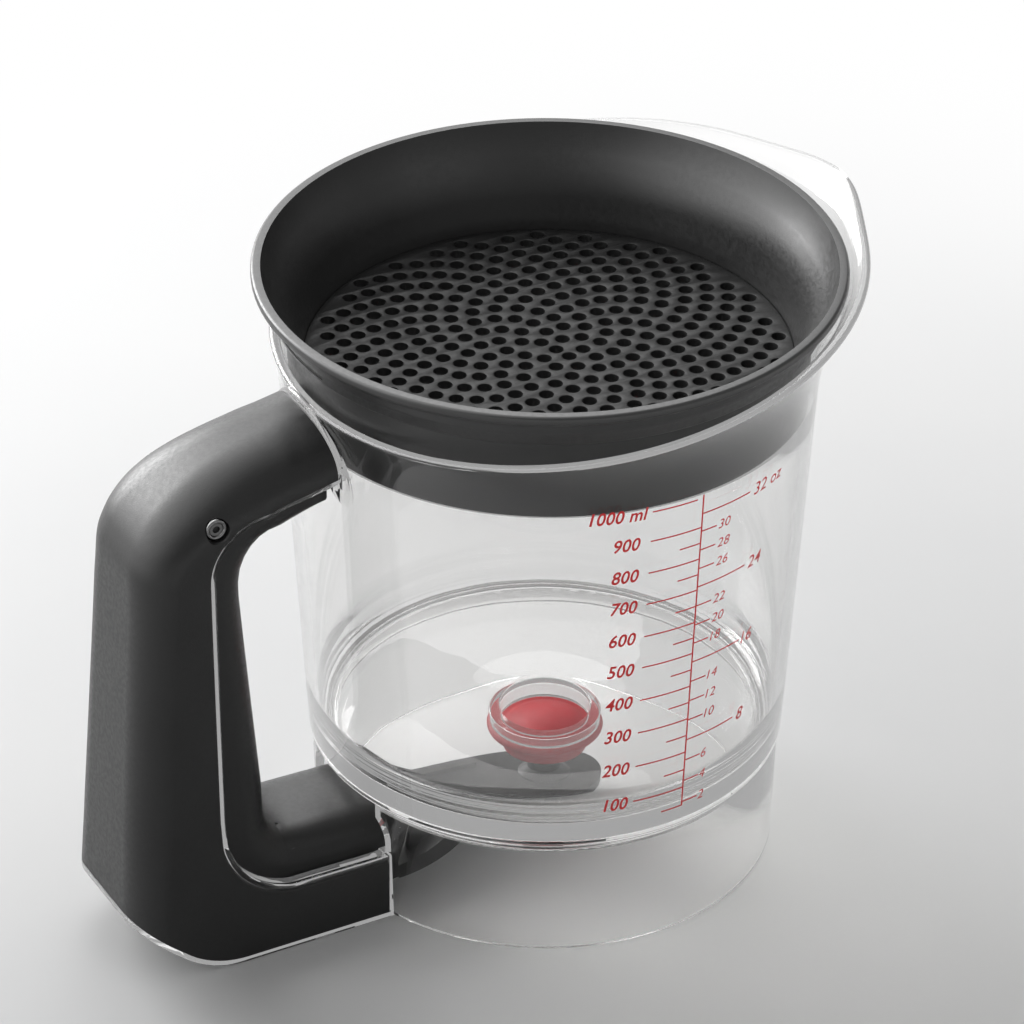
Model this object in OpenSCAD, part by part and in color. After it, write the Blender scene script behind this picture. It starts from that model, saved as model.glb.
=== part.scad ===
// Gravy fat separator: a clear measuring cup that empties through its floor.
// Millimetres, +Z up. The origin is on the cup's axis, on the table.
// +X points to the pouring lip, -X to the handle.

/* [Cup] */
// Outer radius of the cup where it stands on its skirt
foot_r = 57.4; // [54:0.1:62]
// Lean of the cup's outer wall, in degrees from upright
draft = 3.5; // [2.5:0.1:4]
// Wall thickness below the strainer's ledge
cup_wall = 2.7; // [2.2:0.1:3.4]
// Width of the ledge that carries the strainer
ledge_w = 0.8; // [0.6:0.1:1.2]
// Height of that ledge above the table
ledge_z = 125.7; // [118:0.1:130]
// Thickness of the clear floor
floor_t = 2.6; // [2:0.1:4]
// Fall of the floor towards the outlet, in degrees
floor_fall = 3; // [1:0.5:5]
// Radius of the outlet in the floor
outlet_r = 11; // [8:0.5:13]
// Wall of the collar around the outlet
outlet_wall = 2.4; // [1.8:0.1:3]
// Length of that collar below the floor's underside
outlet_drop = 3; // [1:0.5:5]

/* [Rim] */
// Height of the rim's sloping plane over the ledge, on the cup's axis
rim_rise = 22.3; // [20:0.1:26]
// Slope of the rim's plane, rising to the lip, in degrees
rim_tilt = 9; // [6:0.5:10]
// Reach of the rim beyond the leaning wall above the handle
rim_back_out = 0.55; // [0.4:0.05:2]
// Reach of the rim beyond that wall towards the lip, without the lip's own reach
rim_front_out = 9.1; // [5:0.1:12]
// How much wider the rim is at its two sides
rim_bulge = 1.6; // [0:0.1:3]
// Reach of the pouring lip beyond the rim
lip_reach = 4.4; // [2:0.1:8]
// Half angle of the pouring lip, in degrees
lip_angle = 13; // [8:1:20]
// Thickness of the rim's rounded edge
rim_wall = 2.4; // [2:0.1:2.5]
// How late the wall flares: 1 is straight, 3 is bell-shaped
flare_power = 2.2; // [1.5:0.1:3]

/* [Skirt] */
// Height of the clear skirt that the cup stands on
stand_h = 30.7; // [27:0.1:36]
// How far the skirt's top is set in from the cup's foot
seam_step = 0.8; // [0.4:0.1:2]
// How much narrower the skirt is on the table than at its top
stand_lean = 0.8; // [0:0.1:2]
// Wall thickness of the skirt
stand_wall = 2.2; // [1.6:0.1:3]
// Depth that the cup's spigot reaches into the skirt
spigot_h = 3; // [2:0.5:5]
// Half width of the doorway for the trigger's foot
door_half_w = 18.4; // [17:0.1:19]
// Height of the wall left over the doorway
door_lintel = 2.3; // [1.5:0.1:4]
// Radius of the doorway's upper corners
door_corner = 8; // [3:0.5:10]

/* [Handle] */
// Half width of the handle where it meets the cup
arm_half_w = 16.6; // [15.5:0.1:18]
// Half width of the upright grip
grip_half_w = 18; // [17:0.1:20]
// Half width of the handle's foot
leg_half_w = 20.3; // [19.5:0.1:22]
// Radius of the sweep where the sole turns up under the heel
heel_r = 25; // [20:0.5:32]
// Slope of the heel behind that sweep, in degrees
heel_angle = 40; // [34:1:46]
// Thickness of the black cover
cover_t = 2.2; // [1.6:0.1:2.6]
// Gap between the cover and the clear frame inside it
cover_gap = 0.2; // [0.1:0.05:0.4]
// Wall thickness of the clear frame
frame_t = 1.8; // [1.4:0.1:2.2]
// How far the frame's edges stand out of the cover
frame_lip = 1.6; // [1:0.1:2.5]
// Thickness of the clear sole that shows under the cover
sole_t = 1.2; // [0.8:0.1:1.6]
// How far the clear collar at the cup stands proud of the cover's end
collar_proud = 1.5; // [0.5:0.1:2.5]

/* [Trigger] */
// Gap between the trigger's sides and the frame
trigger_gap = 0.6; // [0.4:0.1:1]
// Rounding of the trigger's edges
trigger_round = 8; // [4:0.5:9]
// Wall thickness of the trigger
trigger_t = 2.2; // [1.8:0.1:2.6]
// Distance of the pivot from the cup's foot
pin_out = 37.2; // [36.6:0.1:37.8]
// Depth of the pivot below the strainer's ledge
pin_drop = 5.3; // [4.7:0.1:5.9]
// Radius of the steel pivot pin
pin_r = 1.6; // [1.2:0.1:1.8]
// Radial play between the pin and what turns on it
pin_play = 0.05; // [0.02:0.01:0.08]
// Radius of the trigger's pivot bosses
boss_r = 3.5; // [3.3:0.1:3.7]
// Outer radius of the eyelets around the pin's ends
bush_r = 2.7; // [2.3:0.1:3]

/* [Release arm] */
// Height of the arm's underside above the table
arm_z = 6.4; // [6:0.1:8]
// Thickness of the arm's plate
arm_t = 3.4; // [2.4:0.1:4]
// Half width of the arm's plate
arm_w = 14.4; // [11:0.1:15]
// Radius of the post that carries the stopper
post_r = 4.2; // [3:0.1:5]
// Radius of the silicone stopper's flange
stopper_r = 14; // [13.6:0.1:16]
// Radius of the small screws that hold the arm
screw_r = 1.5; // [1.2:0.1:1.8]

/* [Strainer] */
// Reach of the strainer's rim beyond the line of the cup's wall
strainer_out = 4.3; // [3.5:0.1:5.5]
// Height of the strainer's rim over the ledge
strainer_rise = 31; // [28:0.1:34]
// Thickness of the strainer's rim
strainer_rim_t = 2.3; // [1.8:0.1:3]
// Thickness of the strainer's wall around the screen
seat_wall = 3.75; // [3:0.05:5]
// Height of the screen's top face over the ledge
screen_rise = 6.7; // [5:0.1:9]
// Thickness of the screen
screen_t = 1.4; // [1:0.1:2]
// Gap between the strainer's wall and the cup's
strainer_gap = 0.45; // [0.3:0.05:0.6]
// Thickness of the strainer's lower wall
strainer_wall = 1.9; // [1.5:0.1:2.2]
// Radius of one hole
hole_r = 1.7; // [1:0.05:1.9]
// Spacing constant of the spiral of holes
hole_spread = 2.775; // [2.6:0.025:3.2]

/* [Hidden] */
$fn = 96;

clear_color = [0.86, 0.88, 0.88, 0.45];
black_color = [0.13, 0.13, 0.14];
steel_color = [0.72, 0.72, 0.74];
red_color = [0.62, 0.08, 0.08];

cut = 0.5; // how far a cutter runs past the face that it opens

function lerp(a, b, t) = a + (b - a) * t;
function line_pts(a, b, n) = [for (i = [0:n]) lerp(a, b, i / n)];
function bezier(a, b, c, d, t) =
    pow(1 - t, 3) * a + 3 * t * pow(1 - t, 2) * b + 3 * t * t * (1 - t) * c + pow(t, 3) * d;
function arc_pts(c, rx, rz, a0, a1, n) =
    [for (i = [0:n]) let (a = lerp(a0, a1, i / n)) [c[0] + rx * cos(a), c[1] + rz * sin(a)]];

// ---------------------------------------------------------------- the cup

seat_gap = 0.1; // play under a lifted-out piece
floor_z = stand_h + floor_t; // floor's top face at the outlet's edge
stand_top_r = foot_r - seam_step;
stand_r = stand_top_r - stand_lean;
rim_z = ledge_z + rim_rise;
corner_r = 5; // fillet between floor and wall
foot_round = 1.2; // rounding of the cup's lower outer edge
spigot_gap = 0.15;
rim_segments = 96;
rim_round = 0.7;

// Outer radius of the plain, leaning wall at height z
function wall_r(z) = foot_r + (z - stand_h) * tan(draft);

// Outer radius and height of the rim in the direction a, 0 at the lip. The rim lies
// on a sloping plane, beyond the line of the leaning wall.
function turn(a) = a > 180 ? a - 360 : a;
function rim_out(a) = rim_back_out + (rim_front_out - rim_back_out) * (1 + cos(a)) / 2
    + rim_bulge * pow(sin(a), 2) + lip_reach * exp(-pow(turn(a) / lip_angle, 2));
function rim_r(a) = (wall_r(rim_z) + rim_out(a)) / (1 - tan(rim_tilt) * cos(a) * tan(draft));
function rim_h(a) = rim_z + tan(rim_tilt) * rim_r(a) * cos(a);

// A point of the flared wall: u runs from the ledge (0) to the rim (1),
// inset is its distance inside the outer face
function flare_pt(a, u, inset, drop = 0) =
    let (z = lerp(ledge_z, rim_h(a), u) - drop,
        r = wall_r(z) + (rim_r(a) - wall_r(rim_h(a))) * pow(u, flare_power) - inset)
    [r * cos(a), r * sin(a), z];

upper_wall = cup_wall - ledge_w;
flare_steps = [0.15, 0.3, 0.45, 0.6, 0.74, 0.87, 1];
flare_sink = 0.8; // depth that the flare reaches into the wall below it
// Each ring of the flare: [u, inset, drop], up the outside, over the rim, down the inside
flare_rings = concat(
    [[0, 0.06, flare_sink]],
    [for (u = flare_steps) [u, 0, u == 1 ? rim_round : 0]],
    [[1, rim_round, 0], [1, rim_wall - rim_round, 0]],
    [for (i = [len(flare_steps) - 1:-1:0]) let (u = flare_steps[i])
        [u, lerp(upper_wall, rim_wall, pow(u, 5)), u == 1 ? rim_round : 0]],
    [[0, upper_wall, flare_sink]]);

module flared_rim() {
    n = rim_segments;
    m = len(flare_rings);
    points = [for (ring = flare_rings, j = [0:n - 1])
        flare_pt(j * 360 / n, ring[0], ring[1], ring[2])];
    faces = [for (i = [0:m - 1], j = [0:n - 1], half = [0, 1])
        let (k = (i + 1) % m, l = (j + 1) % n)
        half == 0 ? [i * n + j, k * n + j, k * n + l] : [i * n + j, k * n + l, i * n + l]];
    polyhedron(points = points, faces = faces);
}

module cup() {
    floor_edge_r = wall_r(floor_z) - cup_wall;
    floor_edge_z = floor_z + (floor_edge_r - outlet_r) * tan(floor_fall);
    inner_floor_r = floor_edge_r - corner_r;
    inner_floor_z = floor_edge_z - corner_r * tan(floor_fall);
    collar_z = stand_h - outlet_drop;
    spigot_r = stand_top_r - stand_wall - spigot_gap;
    color(clear_color) {
        rotate_extrude() polygon(concat(
            [[outlet_r, collar_z], [outlet_r + outlet_wall, collar_z],
                [outlet_r + outlet_wall, stand_h]],
            [[spigot_r - stand_wall, stand_h], [spigot_r - stand_wall, stand_h - spigot_h],
                [spigot_r, stand_h - spigot_h], [spigot_r, stand_h]],
            arc_pts([foot_r - foot_round, stand_h + foot_round], foot_round, foot_round, -90, 0, 4),
            [[wall_r(ledge_z), ledge_z], [wall_r(ledge_z) - cup_wall, ledge_z]],
            arc_pts([inner_floor_r, inner_floor_z + corner_r], corner_r, corner_r, 0, -90, 8),
            [[outlet_r, floor_z]]));
        flared_rim();
    }
}

// ------------------------------------------------------------ the handle

// The handle is a channel that follows two curves in the XZ plane, from the cup
// down to the skirt: its open inner edge and its closed outer back. Their points
// are measured out from the cup's foot. The upper ones hang from the ledge.
function at_handle(points) = [for (p = points) [p[0] - foot_r, p[1]]];
foot_z = sole_t + 0.1; // lower edge of the cover
rear_x = -62.1; // line of the back on the table, under the turned-up heel
heel_x = -33.2; // where the flat sole ends
inner_curve = at_handle(concat(
    line_pts([-1.6, ledge_z - 0.4], [-20.1, ledge_z - 4], 3),
    arc_pts([-24.1, ledge_z - 18.9], 15.3, 14, 88, 180, 7),
    line_pts([-39.4, ledge_z - 24.2], [-39.1, 42], 7),
    arc_pts([-18, 37.3], 21, 21, 177, 262, 7),
    line_pts([-15.6, 16.4], [7.4, 16.1], 3)));
outer_curve = at_handle(concat(
    line_pts([-1.6, ledge_z + 12.3], [-17.6, ledge_z + 8.9], 3),
    [for (i = [1:8]) bezier([-17.6, ledge_z + 8.9], [-40.1, ledge_z + 5.3],
        [-57.1, ledge_z - 4.2], [-55.8, ledge_z - 24.7], i / 8)],
    line_pts([-56, ledge_z - 28.7], [rear_x + 2.1, 36], 7),
    line_pts([rear_x + 1.7, 28], [rear_x + 0.5, 8], 3),
    [[rear_x, 0]],
    line_pts([-54, 0], [-14, 0], 5),
    [[7.4, 0]]));
stations = len(inner_curve);

// Half width and corner radii (across, outwards) at each station
function blend(i, a, b, i0, i1) =
    let (t = min(1, max(0, (i - i0) / (i1 - i0)))) lerp(a, b, t * t * (3 - 2 * t));
function half_w(i) = i < 10 ? blend(i, arm_half_w, grip_half_w, 0, 10)
    : blend(i, grip_half_w, leg_half_w, 10, 26);
// The back's corners run straight down to the heel, and the leg's edges are sharp.
function corner_a(i) = lookup(i, [[2, 15.5], [12, 10.5], [24, 10], [25, 1.2]]);
function corner_b(i) = lookup(i, [[2, 12.4], [12, 9], [22, 9.5], [24, 12.5], [25, 1.2]]);

// Cross-section of a channel at station i, from its edge at depth lip to its back,
// inset from the outer face
corner_steps = 5;
function channel_half(i, inset, lip, side, depth) =
    let (w = half_w(i) - inset, a = max(0.6, corner_a(i) - inset), b = max(0.6, corner_b(i) - inset))
    [for (k = [-1:corner_steps]) let (t = 90 * k / corner_steps)
        k < 0 ? [side * w, lip] : [side * (w - a + a * cos(t)), depth - inset - b + b * sin(t)]];
function reversed(v) = [for (i = [len(v) - 1:-1:0]) v[i]];
function channel_ring(i, inset, thick, lip) =
    let (depth = norm(outer_curve[i] - inner_curve[i]),
        d = (outer_curve[i] - inner_curve[i]) / depth,
        outside = concat(channel_half(i, inset, lip, -1, depth),
            reversed(channel_half(i, inset, lip, 1, depth))),
        inside = concat(channel_half(i, inset + thick, lip, 1, depth),
            reversed(channel_half(i, inset + thick, lip, -1, depth))))
    [for (p = concat(outside, inside))
        [inner_curve[i][0] + d[0] * p[1], p[0], inner_curve[i][1] + d[1] * p[1]]];

// Skins a list of equal rings of points and closes both ends
module skin(rings) {
    n = len(rings[0]);
    m = len(rings);
    points = [for (ring = rings) each ring];
    sides = [for (i = [0:m - 2], j = [0:n - 1], half = [0, 1])
        let (l = (j + 1) % n)
        half == 0 ? [i * n + j, (i + 1) * n + j, (i + 1) * n + l]
            : [i * n + j, (i + 1) * n + l, i * n + l]];
    ends = [for (j = [0:n / 2 - 2])
        each [[j, j + 1, n - 2 - j, n - 1 - j],
            [for (k = [n - 1 - j, n - 2 - j, j + 1, j]) (m - 1) * n + k]]];
    polyhedron(points = points, faces = concat(sides, ends));
}

module channel(inset, thick, lip) {
    skin([for (i = [0:stations - 1]) channel_ring(i, inset, thick, lip)]);
}

frame_inset = cover_t + cover_gap;
pad_r = wall_r(ledge_z) + 2.4; // outer radius of the collar moulded against the cup
pad_gap = 0.5; // glue gap between that collar and the cup
pad_z = ledge_z - 3.1; // underside of the collar
pin_x = -foot_r - pin_out;
pin_z = ledge_z - pin_drop;
leg_pad_r = stand_r + 0.9; // outer radius of the flange at the doorway

// A cylinder across the handle, centred on the pivot
module across_pivot(r, half_len) {
    translate([pin_x, 0, pin_z]) rotate([90, 0, 0])
        cylinder(r = r, h = 2 * half_len, center = true, $fn = 48);
}

// Space inside the leaning wall of the cup, with a gap around it
module cup_space(gap) {
    translate([0, 0, stand_h])
        cylinder(r1 = foot_r + gap, r2 = wall_r(rim_z) + gap, h = rim_z - stand_h);
}

module grip_cover() {
    color(black_color) difference() {
        channel(0, cover_t, 0);
        // ends: clear of the collar at the cup and of the flange at the skirt
        translate([0, 0, stand_h]) cylinder(r = pad_r + cover_gap, h = rim_z);
        translate([0, 0, -cut]) cylinder(r = leg_pad_r + cover_gap, h = stand_h);
        // the clear sole shows below the cover, and the frame stands through this slot
        under_heel(foot_z);
        translate([0, 0, -cut]) linear_extrude(cut + sill_h) sole_outline(cover_t);
        across_pivot(bush_r + cover_gap, grip_half_w + cut);
    }
}

// Everything below a surface that lies this far inside the handle's underside, which
// is flat along the leg and turns up behind it to the heel
module under_heel(inside) {
    far = 60;
    front = inside > 0 ? far : heel_x;
    r = heel_r - inside;
    a = 270 - heel_angle;
    top = [heel_x + r * cos(a) - far * cos(heel_angle), heel_r + r * sin(a) + far * sin(heel_angle)];
    translate([-foot_r, 0, 0]) rotate([90, 0, 0]) linear_extrude(60, center = true)
        polygon(concat([[front, -cut], [front, inside]],
            arc_pts([heel_x, heel_r], r, r, 270, a, 6), [top, [top[0], -cut]]));
}

// Outline of the handle's underside, inset from its edge
sill_h = 5.6; // height of the frame's foot inside the cover
module sole_outline(inset) {
    x = rear_x + 0.9 - foot_r + inset;
    r = 10 - inset;
    side = leg_half_w - 0.1 - inset;
    translate([x + r, -side]) square([66, 2 * side]);
    translate([x, -side + r]) square([r + 1, 2 * (side - r)]);
    for (s = [-1, 1]) translate([x + r, s * (side - r)]) circle(r = r);
}

// Doorway through the skirt, as seen along X
module door_outline() {
    sill_z = inner_curve[stations - 1][1] + frame_lip; // top of the frame's sides
    channel_half_w = leg_half_w - frame_inset - frame_t;
    translate([-channel_half_w, well_z]) square([2 * channel_half_w, sill_z]);
    door_h = stand_h - door_lintel;
    translate([-door_half_w, sill_z]) square([2 * door_half_w, door_h - door_corner - sill_z]);
    translate([-door_half_w + door_corner, sill_z])
        square([2 * (door_half_w - door_corner), door_h - sill_z]);
    for (s = [-1, 1]) translate([s * (door_half_w - door_corner), door_h - door_corner])
        circle(r = door_corner);
}

// Arched outline of the collar where the frame meets the cup, as seen along X
module collar_outline() {
    r = arm_half_w + collar_proud;
    top_z = ledge_z + 12.9;
    translate([0, top_z - r]) circle(r = r);
    translate([-r, pad_z - 4]) square([2 * r, top_z - r - pad_z + 4]);
}

// Lays an outline drawn in Y and Z out along -X
module along_minus_x(length) {
    rotate([90, 0, -90]) linear_extrude(length) children();
}

module skirt_ring() {
    difference() {
        cylinder(r1 = stand_r, r2 = stand_top_r, h = stand_h);
        translate([0, 0, -0.01]) cylinder(r1 = stand_r - stand_wall,
            r2 = stand_top_r - stand_wall, h = stand_h + 0.02);
    }
}

well_z = 1.8; // top of the sole inside the leg

module stand() {
    sill_wall = frame_t + 0.5;
    color(clear_color) difference() {
        union() {
            skirt_ring();
            intersection() {
                channel(frame_inset, frame_t, -frame_lip);
                // the channel ends at the cup and at the skirt
                translate([-foot_r - 100, -30, 0]) cube([106.4, 60, 200]);
            }
            // collar against the cup
            intersection() {
                along_minus_x(80) collar_outline();
                translate([0, 0, pad_z]) cylinder(r = pad_r, h = 30);
            }
            // flange round the doorway's foot
            intersection() {
                translate([-foot_r - 12, -leg_half_w, 0]) cube([40, 2 * leg_half_w, 18.2]);
                cylinder(r = leg_pad_r, h = stand_h);
            }
            // the sole, turned up under the heel, and the frame's foot on it
            intersection() {
                linear_extrude(30) sole_outline(0);
                under_heel(sole_t);
            }
            linear_extrude(sill_h) sole_outline(frame_inset);
        }
        under_heel(0);
        cup_space(pad_gap);
        // nothing of the handle reaches inside the skirt
        translate([0, 0, -cut]) cylinder(r1 = stand_r - stand_wall - 0.05,
            r2 = stand_top_r - stand_wall, h = stand_h + cut);
        along_minus_x(foot_r + 3.6) door_outline();
        // the well that the trigger's foot moves in
        difference() {
            translate([0, 0, well_z]) linear_extrude(30) sole_outline(frame_inset + sill_wall);
            under_heel(well_z);
        }
        // window in the frame's back behind the pivot bosses and the spring
        across_pivot(boss_r + 1.2, grip_half_w - frame_inset - frame_t);
        across_pivot(pin_r + pin_play, grip_half_w + cut);
    }
}

// ----------------------------------------------------------- the trigger

trigger_steps = 5;
// Finger side and open back of the trigger, from its tail at the cup to its foot,
// measured as the handle's curves
foot_top = stand_h - door_lintel - 2.2;
finger_curve = at_handle(concat(
    line_pts([-6.9, ledge_z - 10.9], [-13.6, ledge_z - 13.8], 2),
    arc_pts([-16.6, ledge_z - 26.7], 11, 12, 85, 178, 6),
    line_pts([-27.5, ledge_z - 31], [-23.4, 42], 6),
    arc_pts([-15.2, foot_top + 7.8], 8, 7.8, 180, 262, 6),
    line_pts([-12.6, foot_top], [12.9, foot_top - 0.4], 3)));
back_curve = at_handle(concat(
    line_pts([-6.9, ledge_z - 5.4], [-19.6, ledge_z - 4.6], 2),
    arc_pts([-26.6, ledge_z - 18.9], 16, 14.3, 104, 178, 6),
    line_pts([-43, ledge_z - 27.7], [-43, 38], 6),
    arc_pts([-25.2, arm_z + arm_t + 18], 18, 18, 175, 262, 6),
    line_pts([-23.6, arm_z + arm_t], [9.4, arm_z + arm_t], 3)));
trigger_stations = len(finger_curve);

function trigger_half_w(i) = (i < 9 ? blend(i, arm_half_w, grip_half_w, 0, 9)
    : blend(i, grip_half_w, leg_half_w, 9, 22)) - frame_inset - frame_t - trigger_gap;

function trigger_ring(i) =
    let (w = trigger_half_w(i), f = finger_curve[i], e = back_curve[i],
        depth = norm(f - e), d = (f - e) / depth, t = trigger_t,
        a = trigger_round, b = min(trigger_round, depth / 2),
        outside = concat(crown(w, a, b, depth, 1), reversed(crown(w, a, b, depth, -1))),
        inside = concat(
            crown(w - t, a - t, max(0.5, b - t), max(depth - t, 1.2), -1),
            reversed(crown(w - t, a - t, max(0.5, b - t), max(depth - t, 1.2), 1))))
    [for (p = concat(outside, inside)) [e[0] + d[0] * p[1], p[0], e[1] + d[1] * p[1]]];
function crown(w, a, b, depth, side) =
    [for (k = [-1:trigger_steps]) let (t = 90 * k / trigger_steps)
        k < 0 ? [side * w, 0] : [side * (w - a + a * cos(t)), depth - b + b * sin(t)]];

screw_x = -foot_r - 8.6;
screw_y = 8.5;

module trigger() {
    ear_t = 4;
    ear_in = trigger_half_w(5) - ear_t - 1;
    arm_top = arm_z + arm_t;
    color(black_color) difference() {
        union() {
            skin([for (i = [0:trigger_stations - 1]) trigger_ring(i)]);
            // pivot bosses, one inside each cheek
            for (s = [-1, 1]) translate([0, s * (ear_in + ear_t / 2), 0])
                rotate([90, 0, 0]) linear_extrude(ear_t, center = true) {
                    hull() for (d = [0, 5.8]) translate([pin_x + 0.74 * d, pin_z - d])
                        circle(r = boss_r, $fn = 48);
                }
            // screw bosses in the foot
            for (s = [-1, 1]) translate([screw_x, s * screw_y, arm_top])
                cylinder(r = 3.2, h = foot_top - arm_top - 1.4, $fn = 48);
            // cross ribs that stiffen the hollow foot
            for (x = [-0.6, -18.6]) translate([x - foot_r, 0, (foot_top + arm_top) / 2 - 0.8])
                cube([2, 2 * trigger_half_w(22) - 2, foot_top - arm_top - 3.6], center = true);
        }
        across_pivot(pin_r + pin_play, grip_half_w);
        for (s = [-1, 1]) translate([screw_x, s * screw_y, arm_top - cut])
            cylinder(r = screw_r, h = 9, $fn = 32);
    }
}

module release_arm() {
    arm_top = arm_z + arm_t;
    tail_x = -foot_r - 20.6;
    door_x = -foot_r + 13.9; // inner end of the trigger's foot
    rib_h = 5.6;
    rib_t = 2;
    color(black_color) difference() {
        union() {
            translate([0, 0, arm_z]) linear_extrude(arm_t) {
                translate([tail_x, -arm_w]) square([-tail_x, 2 * arm_w]);
                circle(r = arm_w);
            }
            // gussets between the foot and the plate
            for (s = [-1, 1]) translate([0, s * (arm_w - 4) + rib_t / 2, 0])
                rotate([90, 0, 0]) linear_extrude(rib_t)
                    polygon([[door_x, arm_top - cut], [door_x, arm_top + rib_h],
                        [door_x + 5.5, arm_top + 1.6], [-arm_w, arm_top + 1.6],
                        [-arm_w, arm_top - cut]]);
            // post with a barb that holds the stopper
            rotate_extrude() polygon([[0, arm_top - cut], [post_r + 2.4, arm_top - cut],
                [post_r + 2.4, arm_top + 0.8], [post_r, arm_top + 3], [post_r, barb_z],
                [post_r + 1, barb_z], [post_r - 0.6, barb_z + 2.4], [0, barb_z + 2.4]]);
        }
        for (s = [-1, 1]) translate([screw_x, s * screw_y, arm_z - 0.01]) {
            cylinder(r = screw_r + 0.15, h = arm_t + cut, $fn = 32);
            cylinder(r1 = screw_r + 1.65, r2 = screw_r + 0.15, h = 1.5, $fn = 32);
        }
    }
}

module arm_screws() {
    color(steel_color) for (s = [-1, 1]) translate([screw_x, s * screw_y, arm_z + 0.05]) {
        difference() {
            cylinder(r1 = screw_r + 1.5, r2 = screw_r - 0.02, h = 1.5, $fn = 32);
            for (q = [0, 90]) rotate(q) cube([2.8, 0.7, 1.4], center = true);
        }
        translate([0, 0, 1.4]) cylinder(r = screw_r - 0.02, h = arm_t + 5, $fn = 32);
    }
}

// The stopper is drawn up against the outlet's collar
collar_seat_z = stand_h - outlet_drop - 0.05;
flange_t = 2.4;
barb_z = collar_seat_z - 2.2;

module stopper() {
    nose_r = outlet_r - 0.8;
    nose_h = 2.8;
    dome_r = (nose_r * nose_r + nose_h * nose_h) / (2 * nose_h);
    skirt_z = collar_seat_z - 7.4;
    bore_r = post_r + 0.3;
    color(red_color) rotate_extrude() polygon(concat(
        [[bore_r, skirt_z], [stopper_r - 4, skirt_z],
            [stopper_r - 3, collar_seat_z - flange_t - 1]],
        arc_pts([stopper_r - 1.2, collar_seat_z - flange_t / 2], 1.2, flange_t / 2, -90, 90, 6),
        arc_pts([0, collar_seat_z + nose_h - dome_r], dome_r, dome_r,
            acos(nose_r / dome_r), 90, 12),
        [[0, barb_z + 2.7], [post_r + 1.3, barb_z + 2.7],
            [post_r + 1.3, barb_z - 0.3], [bore_r, barb_z - 0.3]]));
}

// ------------------------------------------------------- pin and spring

pin_half_len = grip_half_w - 1.6;

module pivot_pin() {
    dimple_r = 0.9;
    color(steel_color) difference() {
        across_pivot(pin_r, pin_half_len);
        for (s = [-1, 1]) translate([pin_x, s * pin_half_len, pin_z]) rotate([90, 0, 0])
            cylinder(r = dimple_r, h = 3, center = true, $fn = 32);
    }
}

module pivot_bushes() {
    inner_face = grip_half_w - frame_inset + 0.1;
    outer_face = pin_half_len + 0.3;
    color(steel_color) for (s = [-1, 1])
        translate([pin_x, s * (inner_face + outer_face) / 2, pin_z]) rotate([90, 0, 0])
            difference() {
                cylinder(r = bush_r, h = outer_face - inner_face, center = true, $fn = 48);
                cylinder(r = pin_r + pin_play, h = 10, center = true, $fn = 48);
            }
}

spring_turns = 5 + 100 / 360;
spring_wire = 0.5; // wire radius
spring_r = 2.6; // mean radius of the coil
spring_pitch = 1.35;
coil_steps = 16; // points in one turn
frame_leg = 8.5; // leg under the frame's top
trigger_leg = 19; // leg down the inside of the trigger

// Coil around the pin, with one leg on the frame and one on the trigger
function coil_pt(t) = let (a = 105 + 360 * t)
    [pin_x + spring_r * cos(a), (t - spring_turns / 2) * spring_pitch, pin_z + spring_r * sin(a)];
function coil_dir(t) = let (a = 105 + 360 * t,
        v = [-sin(a) * 2 * PI * spring_r, spring_pitch, cos(a) * 2 * PI * spring_r])
    v / norm(v);
function wire_ring(p, d) = let (side = [0, 1, 0] - d * d[1], u = side / norm(side), v = cross(d, u))
    [for (k = [0:5]) p + spring_wire * (u * cos(60 * k) + v * sin(60 * k))];

module return_spring() {
    n = ceil(coil_steps * spring_turns);
    rings = concat(
        [wire_ring(coil_pt(0) - coil_dir(0) * frame_leg, coil_dir(0))],
        [for (i = [0:n]) let (t = spring_turns * i / n) wire_ring(coil_pt(t), coil_dir(t))],
        [wire_ring(coil_pt(spring_turns) + coil_dir(spring_turns) * trigger_leg,
            coil_dir(spring_turns))]);
    color(steel_color) skin(rings);
    echo(least_gap_between_turns = spring_pitch - 2 * spring_wire);
}

// ----------------------------------------------------------- the strainer

strainer_foot_z = ledge_z + seat_gap;
screen_seat_w = 0.9; // ring under the screen's edge
screen_gap = 0.1;
// Outer radius of the strainer's lower wall, which follows the cup's upper wall
function lower_r(z) = wall_r(z) - upper_wall - strainer_gap;

strainer_z = ledge_z + strainer_rise;
strainer_r = wall_r(strainer_z) + strainer_out;
screen_z = ledge_z + screen_rise;
screen_r = lower_r(screen_z) - seat_wall - screen_gap;
shoulder_z = strainer_z - 10.3; // underside of the outward shoulder
shoulder_r = lower_r(shoulder_z) + 2.3;
band_z = shoulder_z + 3.2; // top of the shoulder's band
rim_under_z = strainer_z - strainer_rim_t;
// Swell of the inner wall: share of its height, share of its reach
swell = [[0.22, 0.14], [0.42, 0.27], [0.61, 0.48], [0.74, 0.69], [0.87, 0.87]];

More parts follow.
